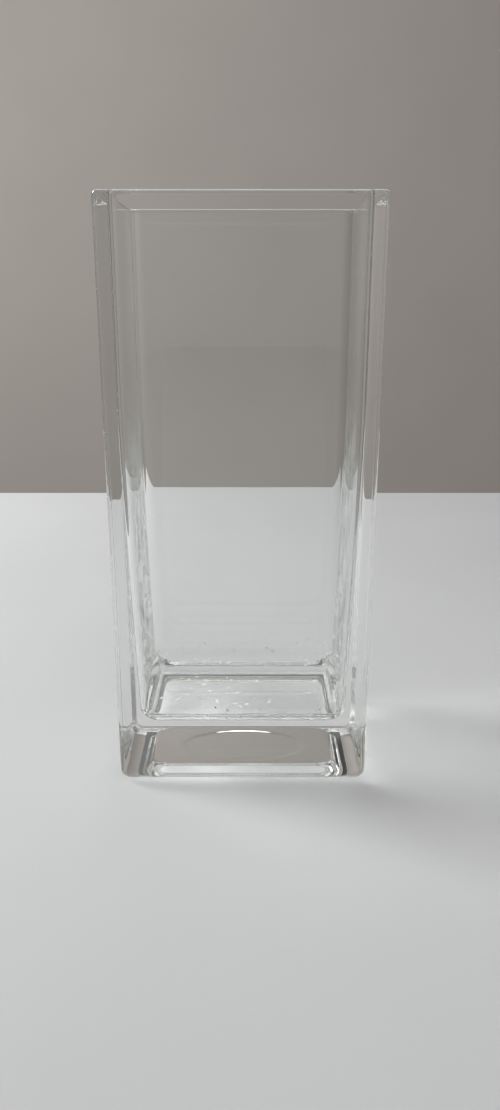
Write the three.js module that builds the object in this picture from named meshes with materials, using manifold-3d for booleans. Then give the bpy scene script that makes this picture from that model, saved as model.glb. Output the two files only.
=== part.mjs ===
// Rectangular heavy-base flower vase, moulded in one piece of clear glass.
//
// Millimetres, +Z up. The origin is the centre of the footprint, on the plane that the foot stands on,
// and the broad front face looks along -Y. The vase is an upright block with rounded edges, less a cavity
// that narrows towards a thick floor, and less a recess that leaves a foot all round the underside.

import * as THREE from 'three';
import { mergeVertices } from 'three/addons/utils/BufferGeometryUtils.js';
import Module from 'manifold-3d';

// Outside of the block
const WIDTH = 101.6;
const DEPTH = 76.2;
const HEIGHT = 228.6;
const CORNER_RADIUS = 2.5;
const BASE_EDGE_RADIUS = 6;
const RIM_EDGE_RADIUS = 1.6;

// Cavity: the wall is even near the rim, then thickens down to the fillet round the floor. The side walls
// thicken steadily, and the broad walls mostly near the floor.
const RIM_WALL = 4.8;
const SIDE_FLOOR_WALL = 8.4;
const FRONT_FLOOR_WALL = 7.4;
const FLOOR_THICKNESS = 24.5;
const FLOOR_FILLET = 8;
const CAVITY_CORNER_RADIUS = 4;
const EVEN_WALL_LENGTH = 78;
const SIDE_GROWTH_POWER = 1.2;
const FRONT_GROWTH_POWER = 2;

// Underside: an even flat round the foot, and a recess that narrows as it rises
const FOOT_FLAT = 2;
const RECESS_DEPTH = 4.5;
const RECESS_SLOPE = 5;
const RECESS_CORNER_RADIUS = 8;

// Oval pad, standing slightly proud of the recess's ceiling
const PAD_SIDE_MARGIN = 10;
const PAD_FRONT_MARGIN = 2.7;
const PAD_HEIGHT = 0.25;
const PAD_BEVEL = 3.5;

// How finely curves are cut
const ARC_STEPS = 8;
const WALL_STEPS = 12;
const CORNER_DIVISIONS = 5;
const PAD_SEGMENTS = 64;

// A tool solid runs this far past the face that it opens
const OVERSHOOT = 5;

// From the outside faces to the mouth of the recess
const FOOT_WIDTH = BASE_EDGE_RADIUS + FOOT_FLAT;

const wasm = await Module();
wasm.setup();

// A rectangle with round corners, centred on the origin.
function roundedRectangle(width, depth, radius) {
  const x = width / 2 - radius;
  const y = depth / 2 - radius;
  const shape = new THREE.Shape();
  shape.absarc(x, y, radius, 0, Math.PI / 2, false);
  shape.absarc(-x, y, radius, Math.PI / 2, Math.PI, false);
  shape.absarc(-x, -y, radius, Math.PI, 1.5 * Math.PI, false);
  shape.absarc(x, -y, radius, 1.5 * Math.PI, 2 * Math.PI, false);
  return shape;
}

// Stations along a quarter circle, from angle a0 to a1 in degrees. The angle is measured at the height and
// inset given, from the inward direction towards +Z.
function arcStations(z, inset, radius, a0, a1) {
  return Array.from({ length: ARC_STEPS + 1 }, (_, i) => {
    const angle = THREE.MathUtils.degToRad(a0 + ((a1 - a0) * i) / ARC_STEPS);
    return { z: z + radius * Math.sin(angle), inset: inset.clone().addScalar(radius * Math.cos(angle)) };
  });
}

// The same inset at the sides and at the front and back.
function evenInset(distance) {
  return new THREE.Vector2(distance, distance);
}

// An upright solid with the outline's section at each station { z, inset }. The inset's x moves the sides
// in from the outline, and its y the front and back. The corner radius stays the same at every height.
function stackedSolid(outline, stations) {
  const steps = stations.length - 1;
  const geometry = new THREE.ExtrudeGeometry(outline, {
    depth: steps,
    steps,
    bevelEnabled: false,
    curveSegments: CORNER_DIVISIONS,
  });
  const position = geometry.getAttribute('position');
  for (let i = 0; i < position.count; i += 1) {
    const { z, inset } = stations[Math.round(position.getZ(i))];
    const x = position.getX(i);
    const y = position.getY(i);
    position.setXYZ(i, x - Math.sign(x) * inset.x, y - Math.sign(y) * inset.y, z);
  }
  return geometry;
}

function toManifold(geometry) {
  geometry.deleteAttribute('normal');
  geometry.deleteAttribute('uv');
  const merged = mergeVertices(geometry, 1e-4);
  return new wasm.Manifold(
    new wasm.Mesh({
      numProp: 3,
      vertProperties: new Float32Array(merged.getAttribute('position').array),
      triVerts: new Uint32Array(merged.index.array),
    }),
  );
}

function toGeometry(manifold) {
  const mesh = manifold.getMesh();
  const geometry = new THREE.BufferGeometry();
  geometry.setAttribute('position', new THREE.BufferAttribute(mesh.vertProperties, 3));
  geometry.setIndex(new THREE.BufferAttribute(mesh.triVerts, 1));
  geometry.computeVertexNormals();
  return geometry;
}

// The block: a round edge at the foot, upright sides, and an eased edge round the rim.
function blockSolid() {
  const stations = [
    ...arcStations(BASE_EDGE_RADIUS, evenInset(BASE_EDGE_RADIUS), BASE_EDGE_RADIUS, -90, -180),
    ...arcStations(HEIGHT - RIM_EDGE_RADIUS, evenInset(RIM_EDGE_RADIUS), RIM_EDGE_RADIUS, 180, 90),
  ];
  return toManifold(stackedSolid(roundedRectangle(WIDTH, DEPTH, CORNER_RADIUS), stations));
}

// How much thicker than at the rim the side walls (x) and the broad walls (y) are at height z.
function wallGrowth(z) {
  const top = HEIGHT - EVEN_WALL_LENGTH;
  const bottom = FLOOR_THICKNESS + FLOOR_FILLET;
  const share = THREE.MathUtils.clamp((top - z) / (top - bottom), 0, 1);
  return new THREE.Vector2(
    (SIDE_FLOOR_WALL - RIM_WALL) * share ** SIDE_GROWTH_POWER,
    (FRONT_FLOOR_WALL - RIM_WALL) * share ** FRONT_GROWTH_POWER,
  );
}

// The cavity: insets are measured from its outline at the rim.
function cavitySolid() {
  const filletTop = FLOOR_THICKNESS + FLOOR_FILLET;
  const wallTop = HEIGHT - RIM_EDGE_RADIUS;
  const floorInset = wallGrowth(filletTop).addScalar(FLOOR_FILLET);
  const wall = Array.from({ length: WALL_STEPS - 1 }, (_, i) => {
    const z = filletTop + ((wallTop - filletTop) * (i + 1)) / WALL_STEPS;
    return { z, inset: wallGrowth(z) };
  });
  const stations = [
    ...arcStations(filletTop, floorInset, FLOOR_FILLET, -90, -180),
    ...wall,
    ...arcStations(wallTop, evenInset(-RIM_EDGE_RADIUS), RIM_EDGE_RADIUS, 0, 90),
    { z: HEIGHT + OVERSHOOT, inset: evenInset(-RIM_EDGE_RADIUS) },
  ];
  const outline = roundedRectangle(WIDTH - 2 * RIM_WALL, DEPTH - 2 * RIM_WALL, CAVITY_CORNER_RADIUS);
  return toManifold(stackedSolid(outline, stations));
}

// The recess: its side rises in an even S from the foot to the ceiling.
function recessSolid() {
  const slope = Array.from({ length: ARC_STEPS + 1 }, (_, i) => {
    const share = i / ARC_STEPS;
    const rise = (RECESS_DEPTH * (1 - Math.cos(Math.PI * share))) / 2;
    return { z: rise, inset: evenInset(RECESS_SLOPE * share) };
  });
  const stations = [{ z: -OVERSHOOT, inset: evenInset(0) }, ...slope];
  const outline = roundedRectangle(WIDTH - 2 * FOOT_WIDTH, DEPTH - 2 * FOOT_WIDTH, RECESS_CORNER_RADIUS);
  return toManifold(stackedSolid(outline, stations));
}

// The pad: a low oval boss with a bevelled edge, on the flat of the recess's ceiling.
function padSolid() {
  const radiusX = WIDTH / 2 - FOOT_WIDTH - RECESS_SLOPE - PAD_SIDE_MARGIN;
  const radiusY = DEPTH / 2 - FOOT_WIDTH - RECESS_SLOPE - PAD_FRONT_MARGIN;
  const face = RECESS_DEPTH - PAD_HEIGHT;
  const top = RECESS_DEPTH + OVERSHOOT;
  const profile = [
    new THREE.Vector2(0, face),
    new THREE.Vector2(radiusX - PAD_BEVEL, face),
    new THREE.Vector2(radiusX, RECESS_DEPTH),
    new THREE.Vector2(radiusX, top),
    new THREE.Vector2(0, top),
  ];
  const geometry = new THREE.LatheGeometry(profile, PAD_SEGMENTS);
  geometry.rotateX(Math.PI / 2);
  geometry.scale(1, radiusY / radiusX, 1);
  return toManifold(geometry);
}

function glassMaterial() {
  return new THREE.MeshStandardMaterial({
    name: 'clear_glass',
    color: 0xe4ece9,
    roughness: 0.04,
    metalness: 0,
    transparent: true,
    opacity: 0.35,
  });
}

function glassBody() {
  const underside = recessSolid().subtract(padSolid());
  const glass = blockSolid().subtract(cavitySolid()).subtract(underside);
  const mesh = new THREE.Mesh(toGeometry(glass), glassMaterial());
  mesh.name = 'glass_body';
  return mesh;
}

const vase = new THREE.Group();
vase.name = 'rectangular_vase';
vase.add(glassBody());

export default vase;
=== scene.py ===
"""A rectangular block vase in clear glass, standing on a pale table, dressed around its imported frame."""

from __future__ import annotations

import logging
import math
from dataclasses import dataclass
from enum import Enum

import bmesh
import bpy
from mathutils import Matrix, Vector


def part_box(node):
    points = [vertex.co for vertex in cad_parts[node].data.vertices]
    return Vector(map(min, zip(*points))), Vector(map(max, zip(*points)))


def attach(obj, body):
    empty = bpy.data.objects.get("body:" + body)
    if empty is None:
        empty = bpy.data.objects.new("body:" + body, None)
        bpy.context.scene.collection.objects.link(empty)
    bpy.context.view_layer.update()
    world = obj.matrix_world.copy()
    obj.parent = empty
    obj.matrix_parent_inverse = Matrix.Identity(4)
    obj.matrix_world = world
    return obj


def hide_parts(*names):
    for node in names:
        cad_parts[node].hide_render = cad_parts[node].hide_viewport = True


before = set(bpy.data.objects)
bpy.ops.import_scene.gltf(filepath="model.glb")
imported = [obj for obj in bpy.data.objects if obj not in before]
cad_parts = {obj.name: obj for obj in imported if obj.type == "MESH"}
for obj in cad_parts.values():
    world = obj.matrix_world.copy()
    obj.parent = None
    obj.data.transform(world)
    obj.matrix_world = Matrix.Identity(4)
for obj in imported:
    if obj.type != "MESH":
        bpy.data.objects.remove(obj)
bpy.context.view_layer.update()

MM = 0.001
# A section is held this far above its place while it is bridged, because a bridge between two level
# sections can twist
BRIDGE_LIFT = 400.0
# Points closer than this, in millimetres, are joined
WELD = 1e-5
# A rounded rectangle's longest edges are its straight sides
STRAIGHT_SIDES = 4
# Light is handed on this many times, because it runs up and down inside a thick wall before it comes out
GLASS_BOUNCES = 48
LOG = logging.getLogger("vase")

Loop = list[bmesh.types.BMEdge]
Colour = tuple[float, float, float, float]


class Slot(Enum):
    """The record's material slots."""

    GLASS = "clear_glass"


def new_material(name: str) -> tuple[bpy.types.Material, bpy.types.NodeTree]:
    """Makes an empty node material.

    Args:
        name: The material's name.

    Returns:
        The material and its empty node tree.
    """
    material = bpy.data.materials.new(name)
    material.use_nodes = True
    material.node_tree.nodes.clear()
    return material, material.node_tree


def add_node(tree: bpy.types.NodeTree, kind: str, **values: object) -> bpy.types.Node:
    """Adds a shader node and sets its inputs.

    Args:
        tree: The tree that takes the node.
        kind: The node's type name, without the ShaderNode prefix.
        values: Input values by socket name, with underscores for spaces.

    Returns:
        The new node.
    """
    node = tree.nodes.new(f"ShaderNode{kind}")
    for key, value in values.items():
        node.inputs[key.replace("_", " ")].default_value = value
    return node


def quarter_turn(steps: int) -> list[tuple[float, float]]:
    """Gives the cosine and sine of evenly spaced angles over a quarter turn.

    Args:
        steps: Number of steps over the quarter.

    Returns:
        A (cosine, sine) pair for each angle.
    """
    angles = [math.pi / 2 * i / steps for i in range(steps + 1)]
    return [(math.cos(angle), math.sin(angle)) for angle in angles]


@dataclass(frozen=True)
class ClearGlass:
    """Clear soda-lime glass, softly wavy from the mould, with a thin film and dried specks by the floor.

    Heights and lengths are in metres, as the object coordinates are. The specks lie between the heights
    speck_low and speck_high, thin out from speck_thick above the lower one, and go out to speck_reach
    from the middle, which is short of the outer faces.
    """

    name: str = "clear_glass_wavy"
    colour: Colour = (0.995, 0.998, 0.997, 1.0)
    ior: float = 1.52
    wave_scale: float = 22.0
    wave_detail: float = 1.0
    wave_roughness: float = 0.4
    wave_height: float = 0.00006
    shadow_colour: Colour = (0.66, 0.665, 0.66, 1.0)
    film_colour: Colour = (0.80, 0.79, 0.76, 1.0)
    film_scale: float = 28.0
    film_detail: float = 4.0
    film_starts: float = 0.45
    film_full: float = 0.75
    film_cover: float = 0.018
    speck_scale: float = 380.0
    speck_detail: float = 2.0
    speck_cover: float = 0.7
    speck_starts: float = 0.655
    speck_softness: float = 0.03
    speck_low: float = 0.0225
    speck_high: float = 0.038
    speck_thick: float = 0.004
    speck_fade_in: float = 0.001
    speck_reach: tuple[float, float] = (0.048, 0.036)
    speck_side_fade: float = 0.0005

    def build(self) -> bpy.types.Material:
        """Makes the material.

        Returns:
            The glass material.
        """
        material, tree = new_material(self.name)
        output = add_node(tree, "OutputMaterial")
        place = add_node(tree, "TexCoord").outputs["Object"]
        glass = add_node(tree, "BsdfGlass", Color=self.colour, Roughness=0.0, IOR=self.ior)
        tree.links.new(self._waves(tree, place), glass.inputs["Normal"])
        film = add_node(tree, "BsdfDiffuse", Color=self.film_colour)
        marked = add_node(tree, "MixShader")
        tree.links.new(self._marks(tree, place), marked.inputs[0])
        tree.links.new(glass.outputs[0], marked.inputs[1])
        tree.links.new(film.outputs[0], marked.inputs[2])
        lamp_side = add_node(tree, "BsdfTransparent", Color=self.shadow_colour)
        path = add_node(tree, "LightPath")
        mix = add_node(tree, "MixShader")
        tree.links.new(path.outputs["Is Shadow Ray"], mix.inputs[0])
        tree.links.new(marked.outputs[0], mix.inputs[1])
        tree.links.new(lamp_side.outputs[0], mix.inputs[2])
        tree.links.new(mix.outputs[0], output.inputs["Surface"])
        return material

    def _waves(self, tree: bpy.types.NodeTree, place: bpy.types.NodeSocket) -> bpy.types.NodeSocket:
        """Makes the mould's soft waviness as a bump.

        Args:
            tree: The tree that takes the nodes.
            place: The object coordinates.

        Returns:
            The bumped normal.
        """
        noise = add_node(
            tree, "TexNoise", Scale=self.wave_scale, Detail=self.wave_detail, Roughness=self.wave_roughness
        )
        bump = add_node(tree, "Bump", Strength=1.0, Distance=self.wave_height)
        tree.links.new(place, noise.inputs["Vector"])
        tree.links.new(noise.outputs["Fac"], bump.inputs["Height"])
        return bump.outputs["Normal"]

    def _marks(self, tree: bpy.types.NodeTree, place: bpy.types.NodeSocket) -> bpy.types.NodeSocket:
        """Makes the cover of the surface marks: a faint uneven film, and specks in a band by the floor.

        Args:
            tree: The tree that takes the nodes.
            place: The object coordinates.

        Returns:
            The share of the surface that the marks hide.
        """
        film = self._noise(tree, place, self.film_scale, self.film_detail)
        film = self._stretched(tree, film, self.film_starts, self.film_full, self.film_cover)
        specks = self._noise(tree, place, self.speck_scale, self.speck_detail)
        speck_full = self.speck_starts + self.speck_softness
        specks = self._stretched(tree, specks, self.speck_starts, speck_full, self.speck_cover)
        parts = add_node(tree, "SeparateXYZ")
        tree.links.new(place, parts.inputs[0])
        height = parts.outputs["Z"]
        masks = [
            self._stretched(tree, height, self.speck_low, self.speck_low + self.speck_fade_in),
            self._stretched(tree, height, self.speck_high, self.speck_low + self.speck_thick),
        ]
        for axis, reach in zip("XY", self.speck_reach):
            away = self._math(tree, "ABSOLUTE", parts.outputs[axis])
            masks.append(self._stretched(tree, away, reach, reach - self.speck_side_fade))
        for mask in masks:
            specks = self._math(tree, "MULTIPLY", specks, mask)
        return self._math(tree, "MAXIMUM", film, specks)

    def _noise(
        self, tree: bpy.types.NodeTree, place: bpy.types.NodeSocket, scale: float, detail: float
    ) -> bpy.types.NodeSocket:
        """Makes a noise.

        Args:
            tree: The tree that takes the node.
            place: The object coordinates.
            scale: The noise's scale.
            detail: Its octaves.

        Returns:
            The noise's value.
        """
        noise = add_node(tree, "TexNoise", Scale=scale, Detail=detail)
        tree.links.new(place, noise.inputs["Vector"])
        return noise.outputs["Fac"]

    def _stretched(
        self,
        tree: bpy.types.NodeTree,
        value: bpy.types.NodeSocket,
        nothing: float,
        full: float,
        top: float = 1.0,
    ) -> bpy.types.NodeSocket:
        """Maps a value from one range to the range from nothing to a top value, and clamps it.

        Args:
            tree: The tree that takes the node.
            value: The value.
            nothing: The value that gives nothing.
            full: The value that gives the top.
            top: The top value.

        Returns:
            The mapped value.
        """
        spread = add_node(tree, "MapRange", From_Min=nothing, From_Max=full, To_Min=0.0, To_Max=top)
        tree.links.new(value, spread.inputs["Value"])
        return spread.outputs["Result"]

    def _math(
        self, tree: bpy.types.NodeTree, operation: str, *values: bpy.types.NodeSocket
    ) -> bpy.types.NodeSocket:
        """Works out a value from one or two others.

        Args:
            tree: The tree that takes the node.
            operation: The math node's operation.
            values: The one or two values that it takes.

        Returns:
            The value worked out.
        """
        node = add_node(tree, "Math")
        node.operation = operation
        for value, socket in zip(values, node.inputs):
            tree.links.new(value, socket)
        return node.outputs[0]


@dataclass(frozen=True)
class MattFinish:
    """A matt stage finish with very soft mottling."""

    name: str
    colour: Colour
    roughness: float = 0.9
    sheen: float = 0.2
    mottle: float = 0.02
    mottle_scale: float = 6.0
    mottle_detail: float = 3.0
    mottle_range: tuple[float, float] = (0.3, 0.7)

    def build(self) -> bpy.types.Material:
        """Makes the material.

        Returns:
            The matt material.
        """
        material, tree = new_material(self.name)
        output = add_node(tree, "OutputMaterial")
        body = add_node(tree, "BsdfPrincipled", Roughness=self.roughness, Specular_IOR_Level=self.sheen)
        place = add_node(tree, "TexCoord")
        noise = add_node(tree, "TexNoise", Scale=self.mottle_scale, Detail=self.mottle_detail)
        ramp = add_node(tree, "ValToRGB")
        strengths = (1.0 - self.mottle, 1.0 + self.mottle)
        for stop, position, strength in zip(ramp.color_ramp.elements, self.mottle_range, strengths):
            stop.position = position
            stop.color = (*(channel * strength for channel in self.colour[:3]), 1.0)
        tree.links.new(place.outputs["Object"], noise.inputs["Vector"])
        tree.links.new(noise.outputs["Fac"], ramp.inputs["Fac"])
        tree.links.new(ramp.outputs["Color"], body.inputs["Base Color"])
        tree.links.new(body.outputs[0], output.inputs["Surface"])
        return material


class Loft:
    """A closed skin drawn through flat sections, one after another, in millimetres."""

    def __init__(self, arc_steps: int, oval_steps: int, ease: float) -> None:
        """Starts an empty skin.

        Args:
            arc_steps: Edges in each rounded corner.
            oval_steps: Edges in each oval.
            ease: Length of the short edge kept on each side of a rounded corner, so that flats shade flat.
        """
        self.mesh = bmesh.new()
        self.arc_steps = arc_steps
        self.oval_steps = oval_steps
        self.ease = ease
        self.last: Loop = []
        self.reach = Vector((1.0, 1.0, 0.0))

    def _close(self, loop: Loop, level: bool = False) -> None:
        """Joins the section before to this one.

        Args:
            loop: The new section's edges.
            level: Whether the two lie in one plane with different outlines, to be filled and not bridged.
        """
        if self.last and level:
            bmesh.ops.triangle_fill(self.mesh, use_beauty=True, use_dissolve=False, edges=self.last + loop)
        elif self.last:
            verts = list(dict.fromkeys(vert for edge in loop for vert in edge.verts))
            bmesh.ops.translate(self.mesh, verts=verts, vec=(0.0, 0.0, BRIDGE_LIFT))
            bmesh.ops.bridge_loops(self.mesh, edges=self.last + loop)
            bmesh.ops.translate(self.mesh, verts=verts, vec=(0.0, 0.0, -BRIDGE_LIFT))
        self.last = loop

    def rectangle(self, half_x: float, half_y: float, radius: float, z: float, level: bool = False) -> None:
        """Draws the skin on to a rectangle with round corners.

        Args:
            half_x: Half the width.
            half_y: Half the depth.
            radius: The corners' radius.
            z: The section's height.
            level: Whether it lies level with a section of another outline.
        """
        corners = bmesh.ops.create_grid(self.mesh, x_segments=1, y_segments=1, size=1.0)["verts"]
        bmesh.ops.scale(self.mesh, verts=corners, vec=(half_x, half_y, 1.0))
        bmesh.ops.translate(self.mesh, verts=corners, vec=(0.0, 0.0, z))
        rounded = bmesh.ops.bevel(
            self.mesh,
            geom=corners,
            offset=radius,
            offset_type="OFFSET",
            segments=self.arc_steps,
            profile=0.5,
            affect="VERTICES",
            material=-1,
        )
        face = rounded["verts"][0].link_faces[0]
        loop = list(face.edges)
        bmesh.ops.delete(self.mesh, geom=[face], context="FACES_ONLY")
        sides = sorted(loop, key=bmesh.types.BMEdge.calc_length)[-STRAIGHT_SIDES:]
        for side in sides:
            for end in tuple(side.verts):
                short, _ = bmesh.utils.edge_split(side, end, self.ease / side.calc_length())
                loop.append(short)
                side = max((side, short), key=bmesh.types.BMEdge.calc_length)
        self._close(loop, level)

    def disc(self, half_x: float, half_y: float, z: float) -> None:
        """Starts the skin with a flat oval disc.

        Args:
            half_x: Half the disc's width.
            half_y: Half its depth.
            z: Its height.
        """
        made = bmesh.ops.create_circle(self.mesh, cap_ends=True, segments=self.oval_steps, radius=1.0)
        self.last = list(dict.fromkeys(edge for vert in made["verts"] for edge in vert.link_edges))
        self._shape(made["verts"], half_x, half_y, z)

    def oval(self, half_x: float, half_y: float, z: float) -> None:
        """Draws the skin on from an oval to another oval.

        Args:
            half_x: Half the oval's width.
            half_y: Half its depth.
            z: The section's height.
        """
        made = bmesh.ops.extrude_edge_only(self.mesh, edges=self.last)["geom"]
        self.last = [item for item in made if isinstance(item, bmesh.types.BMEdge) and item.is_boundary]
        verts = [item for item in made if isinstance(item, bmesh.types.BMVert)]
        self._shape(verts, half_x, half_y, z)

    def _shape(self, verts: list[bmesh.types.BMVert], half_x: float, half_y: float, z: float) -> None:
        """Gives an oval ring its size and height.

        Args:
            verts: The ring, at the size of the oval before.
            half_x: Half the oval's width.
            half_y: Half its depth.
            z: Its height.
        """
        bmesh.ops.scale(self.mesh, verts=verts, vec=(half_x / self.reach.x, half_y / self.reach.y, 1.0))
        bmesh.ops.translate(self.mesh, verts=verts, vec=(0.0, 0.0, z - self.reach.z))
        self.reach = Vector((half_x, half_y, z))

    def cap(self) -> None:
        """Closes the open section with one face."""
        bmesh.ops.contextual_create(self.mesh, geom=self.last)

    def finish(self, name: str) -> bpy.types.Object:
        """Turns the skin into an object, in metres.

        Args:
            name: The object's name.

        Returns:
            The object, linked to the scene.
        """
        bmesh.ops.remove_doubles(self.mesh, verts=self.mesh.verts, dist=WELD)
        bmesh.ops.recalc_face_normals(self.mesh, faces=self.mesh.faces)
        bmesh.ops.scale(self.mesh, verts=self.mesh.verts, vec=(MM, MM, MM))
        for face in self.mesh.faces:
            face.smooth = True
        data = bpy.data.meshes.new(name)
        self.mesh.to_mesh(data)
        self.mesh.free()
        piece = bpy.data.objects.new(name, data)
        bpy.context.scene.collection.objects.link(piece)
        return piece


@dataclass
class GlassBody:
    """The moulded body, in millimetres: outside, cavity, rim, foot, recess and oval pad."""

    width: float
    depth: float
    height: float
    corner_radius: float = 2.5
    corner_taper: float = 0.5
    least_corner_radius: float = 1.0
    base_edge_radius: float = 6.0
    rim_edge_radius: float = 1.6
    rim_wall: float = 4.8
    side_floor_wall: float = 8.4
    front_floor_wall: float = 7.4
    floor_thickness: float = 24.5
    floor_fillet: float = 8.0
    cavity_corner_radius: float = 4.0
    even_wall_length: float = 78.0
    side_growth_power: float = 1.2
    front_growth_power: float = 2.0
    foot_flat: float = 2.0
    recess_depth: float = 4.5
    recess_slope: float = 5.0
    recess_corner_radius: float = 8.0
    pad_side_margin: float = 10.0
    pad_front_margin: float = 2.7
    pad_height: float = 0.25
    pad_bevel: float = 3.5
    curve_steps: int = 14
    oval_steps: int = 96
    wall_steps: int = 36
    ease: float = 0.4

    @classmethod
    def from_frame(cls) -> GlassBody:
        """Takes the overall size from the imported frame."""
        low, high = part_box("glass_body")
        size = (high - low) / MM
        return cls(width=size.x, depth=size.y, height=size.z)

    def walls_at(self, z: float) -> tuple[float, float]:
        """Gives the walls' thickness at a height.

        Args:
            z: Height above the table.

        Returns:
            The side walls' thickness, then the front and back walls'.
        """
        top = self.height - self.even_wall_length
        bottom = self.floor_thickness + self.floor_fillet
        share = min(max((top - z) / (top - bottom), 0.0), 1.0)
        side = (self.side_floor_wall - self.rim_wall) * share**self.side_growth_power
        front = (self.front_floor_wall - self.rim_wall) * share**self.front_growth_power
        return self.rim_wall + side, self.rim_wall + front

    def build(self, finish: ClearGlass) -> bpy.types.Object:
        """Makes the body in one skin, from the pad under the base to the floor of the cavity.

        Args:
            finish: The glass.

        Returns:
            The finished body.
        """
        skin = Loft(self.curve_steps, self.oval_steps, self.ease)
        self._underside(skin)
        self._outside(skin)
        self._rim(skin)
        self._cavity(skin)
        piece = skin.finish("vase_glass")
        piece.data.materials.append(finish.build())
        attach(piece, "root")
        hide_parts("glass_body")
        return piece

    def _section(
        self, skin: Loft, inset: float, radius: float, z: float, walls: tuple[float, float] = (0.0, 0.0)
    ) -> None:
        """Adds a section of the outline, moved in by an inset.

        Args:
            skin: The skin that takes it.
            inset: Distance in from the outside faces, or from the walls' inner faces.
            radius: The corners' radius.
            z: The section's height.
            walls: Thickness of the side walls and of the front and back walls, for a section of the cavity.
        """
        side, front = walls
        skin.rectangle(self.width / 2 - side - inset, self.depth / 2 - front - inset, radius, z)

    def _underside(self, skin: Loft) -> None:
        """Adds the pad, the recess and the foot's flat.

        Args:
            skin: The skin that takes them.
        """
        foot = self.base_edge_radius + self.foot_flat
        mouth_x, mouth_y = self.width / 2 - foot, self.depth / 2 - foot
        flat_x, flat_y = mouth_x - self.recess_slope, mouth_y - self.recess_slope
        oval_x, oval_y = flat_x - self.pad_side_margin, flat_y - self.pad_front_margin
        face = self.recess_depth - self.pad_height
        skin.disc(oval_x - self.pad_bevel - self.ease, oval_y - self.pad_bevel - self.ease, face)
        for i in range(self.curve_steps + 1):
            share = i / self.curve_steps
            inset = self.pad_bevel * (1.0 - share)
            lift = self.pad_height * (1.0 - math.cos(math.pi * share)) / 2.0
            skin.oval(oval_x - inset, oval_y - inset, face + lift)
        corner = self.recess_corner_radius
        ceiling = self.recess_depth
        skin.oval(oval_x + self.ease, oval_y + self.ease, ceiling)
        skin.rectangle(flat_x - self.ease, flat_y - self.ease, corner - self.ease, ceiling, level=True)
        for i in range(self.curve_steps + 1):
            share = i / self.curve_steps
            lift = self.recess_depth * (1.0 + math.cos(math.pi * share)) / 2.0
            out = self.recess_slope * share
            skin.rectangle(flat_x + out, flat_y + out, corner, lift)
        skin.rectangle(mouth_x + self.ease, mouth_y + self.ease, corner + self.ease, 0.0)

    def _outside(self, skin: Loft) -> None:
        """Adds the foot's round edge and the upright sides.

        Args:
            skin: The skin that takes them.
        """
        round_edge = self.base_edge_radius
        self._section(skin, round_edge + self.ease, self.corner_radius, 0.0)
        for cosine, sine in quarter_turn(self.curve_steps):
            inset = round_edge * (1.0 - sine)
            corner = max(self.corner_radius - inset * self.corner_taper, self.least_corner_radius)
            self._section(skin, inset, corner, round_edge * (1.0 - cosine))
        straight = self.height - self.rim_edge_radius
        for z in (round_edge + self.ease, self.height / 3, 2 * self.height / 3, straight - self.ease):
            self._section(skin, 0.0, self.corner_radius, z)

    def _rim(self, skin: Loft) -> None:
        """Adds the rim: two eased edges with a flat between.

        Args:
            skin: The skin that takes it.
        """
        ease = self.rim_edge_radius
        steps = self.curve_steps // 2
        top = self.height - ease
        for cosine, sine in quarter_turn(steps):
            inset = ease * (1.0 - cosine)
            self._section(skin, inset, self.corner_radius - inset, top + ease * sine)
        for cosine, sine in quarter_turn(steps):
            inset = self.rim_wall - ease * (1.0 - sine)
            self._section(skin, inset, self.cavity_corner_radius, top + ease * cosine)

    def _cavity(self, skin: Loft) -> None:
        """Adds the inner walls, the fillet and the floor.

        Args:
            skin: The skin that takes them.
        """
        top = self.height - self.rim_edge_radius - self.ease
        bottom = self.floor_thickness + self.floor_fillet
        corner = self.cavity_corner_radius
        for i in range(self.wall_steps):
            z = top + (bottom - top) * i / self.wall_steps
            self._section(skin, 0.0, corner, z, self.walls_at(z))
        walls = self.walls_at(bottom)
        for cosine, sine in quarter_turn(self.curve_steps):
            inset = self.floor_fillet * (1.0 - cosine)
            self._section(skin, inset, corner, bottom - self.floor_fillet * sine, walls)
        self._section(skin, self.floor_fillet + self.ease, corner, self.floor_thickness, walls)
        skin.cap()


@dataclass(frozen=True)
class Stage:
    """The plain pale table and the plain grey backdrop hanging beyond its far edge, in millimetres."""

    table: MattFinish = MattFinish("table_matt", (0.585, 0.60, 0.616, 1.0))
    backdrop: MattFinish = MattFinish("backdrop_matt", (0.44, 0.412, 0.39, 1.0))
    table_half_width: float = 340.0
    backdrop_half_width: float = 3000.0
    near: float = -3000.0
    far: float = 493.5
    backdrop_gap: float = 900.0
    backdrop_height: float = 5000.0

    def build(self) -> None:
        """Makes both sheets."""
        length = self.far - self.near
        flat = Matrix.Translation((0.0, (self.far + self.near) / 2 * MM, 0.0))
        self._sheet("table_top", self.table_half_width, length / 2, flat, self.table)
        upright = Matrix.Translation((0.0, (self.far + self.backdrop_gap) * MM, 0.0))
        upright @= Matrix.Rotation(math.pi / 2, 4, "X")
        self._sheet("backdrop", self.backdrop_half_width, self.backdrop_height / 2, upright, self.backdrop)

    def _sheet(self, name: str, half_x: float, half_y: float, place: Matrix, finish: MattFinish) -> None:
        """Makes one flat sheet.

        Args:
            name: The sheet's name.
            half_x: Half its width.
            half_y: Half its length.
            place: Where it goes, from a sheet lying on the origin.
            finish: Its finish.
        """
        mesh = bmesh.new()
        bmesh.ops.create_grid(mesh, x_segments=4, y_segments=4, size=1.0)
        bmesh.ops.scale(mesh, verts=mesh.verts, vec=(half_x * MM, half_y * MM, 1.0))
        bmesh.ops.transform(mesh, verts=mesh.verts, matrix=place)
        data = bpy.data.meshes.new(name)
        mesh.to_mesh(data)
        mesh.free()
        data.materials.append(finish.build())
        sheet = bpy.data.objects.new(name, data)
        bpy.context.scene.collection.objects.link(sheet)


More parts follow.
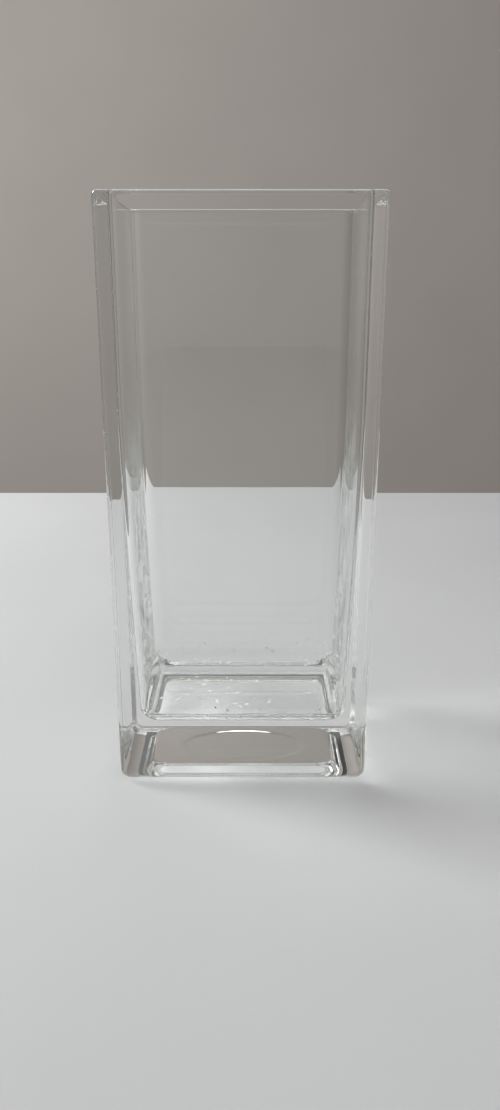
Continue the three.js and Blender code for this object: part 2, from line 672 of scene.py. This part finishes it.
@dataclass(frozen=True)
class SoftLamp:
    """A soft rectangular lamp, aimed at a point, in metres."""

    name: str
    place: tuple[float, float, float]
    aim: tuple[float, float, float]
    size: tuple[float, float]
    power: float
    colour: tuple[float, float, float]

    def build(self) -> bpy.types.Object:
        """Makes the lamp.

        Returns:
            The lamp.
        """
        data = bpy.data.lights.new(self.name, "AREA")
        data.shape = "RECTANGLE"
        data.size, data.size_y = self.size
        data.energy = self.power
        data.color = self.colour
        lamp = bpy.data.objects.new(self.name, data)
        lamp.location = self.place
        lamp.rotation_euler = (Vector(self.aim) - Vector(self.place)).to_track_quat("-Z", "Y").to_euler()
        bpy.context.scene.collection.objects.link(lamp)
        return lamp


WINDOW_LAMP = SoftLamp(
    name="window_lamp",
    place=(-1.3, 0.35, 1.0),
    aim=(0.0, 0.0, 0.05),
    size=(0.5, 0.5),
    power=27.0,
    colour=(1.0, 0.99, 0.97),
)
REAR_LAMP = SoftLamp(
    name="rear_lamp",
    place=(0.0, 0.95, 1.19),
    aim=(0.0, 0.0, 0.05),
    size=(0.08, 0.08),
    power=0.06,
    colour=(0.9, 0.95, 1.0),
)
TOP_LAMP = SoftLamp(
    name="top_lamp",
    place=(0.0, -0.3, 1.8),
    aim=(0.0, 0.0, 0.0),
    size=(1.6, 1.6),
    power=5.0,
    colour=(1.0, 0.995, 0.98),
)


@dataclass(frozen=True)
class Studio:
    """Camera, lamps and surrounding light.

    The camera's place and lens are in millimetres, and its pitch in degrees below level. Its distance is
    measured from the vase's front face.
    """

    camera_x: float = 3.1
    camera_distance: float = 303.95
    camera_height: float = 194.8
    camera_pitch: float = 17.38
    camera_nearest: float = 10.0
    lens: float = 27.05
    ambient: float = 0.28
    ambient_colour: Colour = (1.0, 0.965, 0.93, 1.0)
    lamps: tuple[SoftLamp, ...] = (WINDOW_LAMP, REAR_LAMP, TOP_LAMP)

    def build(self, body: GlassBody) -> None:
        """Makes the camera, the lamps and the surrounding light.

        Args:
            body: The vase that the camera looks at.
        """
        self._camera(body)
        self._world()
        for lamp in self.lamps:
            lamp.build()

    def _camera(self, body: GlassBody) -> None:
        """Makes the camera.

        Args:
            body: The vase.
        """
        data = bpy.data.cameras.new("camera")
        data.lens = self.lens
        data.clip_start = self.camera_nearest * MM
        camera = bpy.data.objects.new("camera", data)
        front = -body.depth / 2
        camera.location = (self.camera_x * MM, (front - self.camera_distance) * MM, self.camera_height * MM)
        camera.rotation_euler = (math.radians(90.0 - self.camera_pitch), 0.0, 0.0)
        bpy.context.scene.collection.objects.link(camera)
        bpy.context.scene.camera = camera

    def _world(self) -> None:
        """Makes the even light all round."""
        world = bpy.data.worlds.new("room_light")
        world.use_nodes = True
        background = world.node_tree.nodes["Background"]
        background.inputs["Color"].default_value = self.ambient_colour
        background.inputs["Strength"].default_value = self.ambient
        bpy.context.scene.world = world


def report(piece: bpy.types.Object) -> None:
    """Logs a finished piece's size and face count.

    Args:
        piece: The piece.
    """
    size = ", ".join(f"{v / MM:.1f}" for v in piece.dimensions)
    LOG.info("%s: %d faces, %s mm", piece.name, len(piece.data.polygons), size)


def main() -> None:
    """Builds the stage, the studio and the vase."""
    logging.basicConfig(level=logging.INFO, format="%(name)s: %(message)s")
    scene = bpy.context.scene
    scene.view_settings.view_transform = "Standard"
    cycles = scene.cycles
    cycles.max_bounces = cycles.transmission_bounces = cycles.glossy_bounces = GLASS_BOUNCES
    body = GlassBody.from_frame()
    Studio().build(body)
    Stage().build()
    report(body.build(ClearGlass()))


if __name__ == "__main__":
    main()
